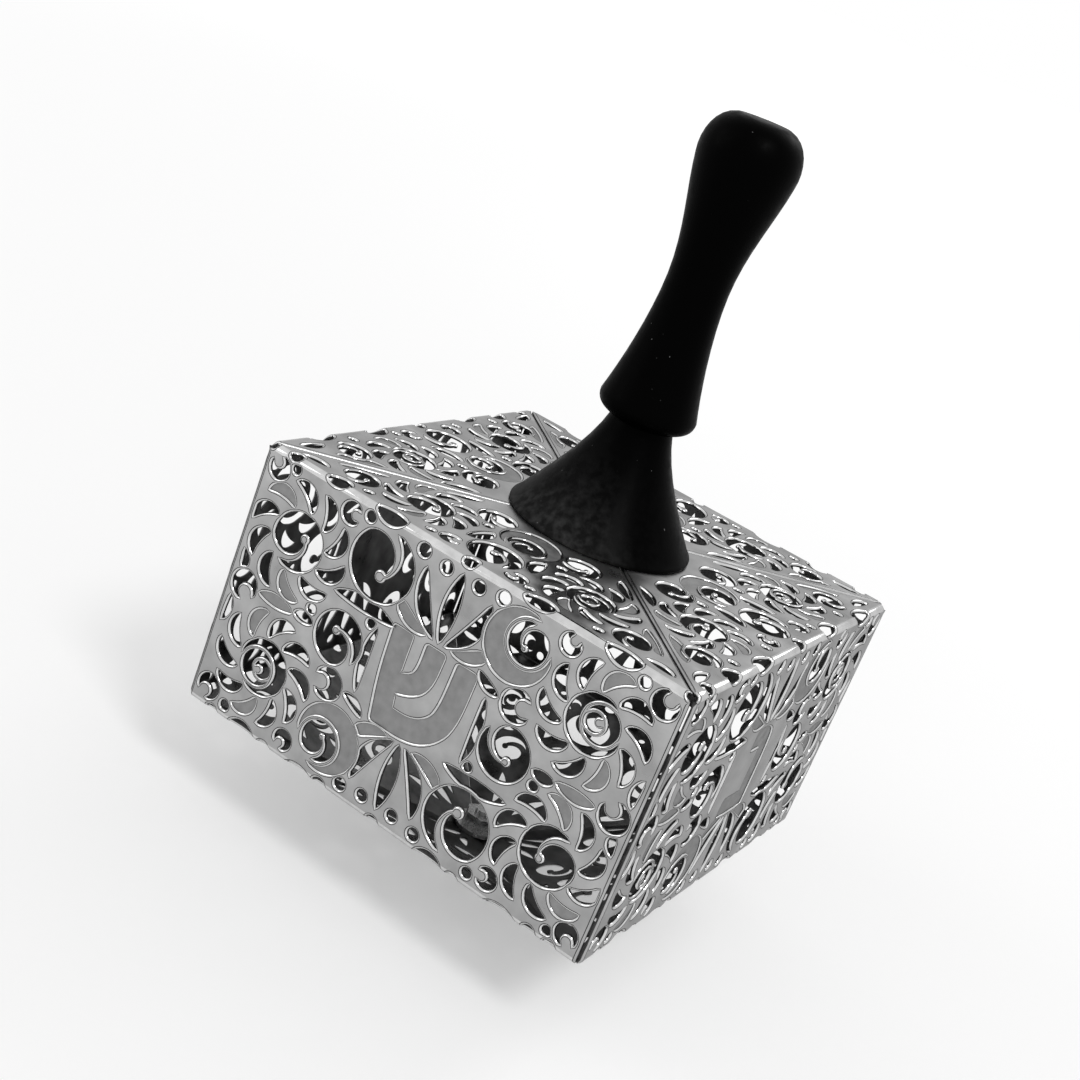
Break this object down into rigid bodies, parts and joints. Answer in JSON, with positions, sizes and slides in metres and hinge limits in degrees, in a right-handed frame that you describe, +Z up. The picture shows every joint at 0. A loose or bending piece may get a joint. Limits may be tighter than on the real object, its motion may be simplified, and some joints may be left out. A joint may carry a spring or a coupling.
{
  "type": "dreidel",
  "caption": "Square dreidel of folded pierced lace metal with a pyramid point and a turned black handle",
  "frame": {"origin": "the rounded nose that the top spins on, on the spin axis", "axes": "+Z up the spin axis from the nose to the crown of the handle, -Y out of the front wall, +X out of the right wall"},
  "size_m": [0.06, 0.06, 0.1001],
  "materials": {
    "lace_metal": "satin silver sheet with polished cut edges and matte half-etched leaves",
    "black_wood": "turned wood in satin black lacquer, lightly scuffed",
    "hardware_steel": "plain bright steel"
  },
  "bodies": {
    "root": {"wall_front": "lace_metal", "wall_right": "lace_metal", "wall_back": "lace_metal", "wall_left": "lace_metal", "top_flap_front": "lace_metal", "top_flap_right": "lace_metal", "top_flap_back": "lace_metal", "top_flap_left": "lace_metal", "bottom_flap_front": "lace_metal", "bottom_flap_right": "lace_metal", "bottom_flap_back": "lace_metal", "bottom_flap_left": "lace_metal", "handle": "black_wood", "handle_screw": "hardware_steel", "clamp_washer": "hardware_steel", "tip_point": "hardware_steel", "tip_washer": "hardware_steel", "tip_nut": "hardware_steel"}
  },
  "joints": []
}
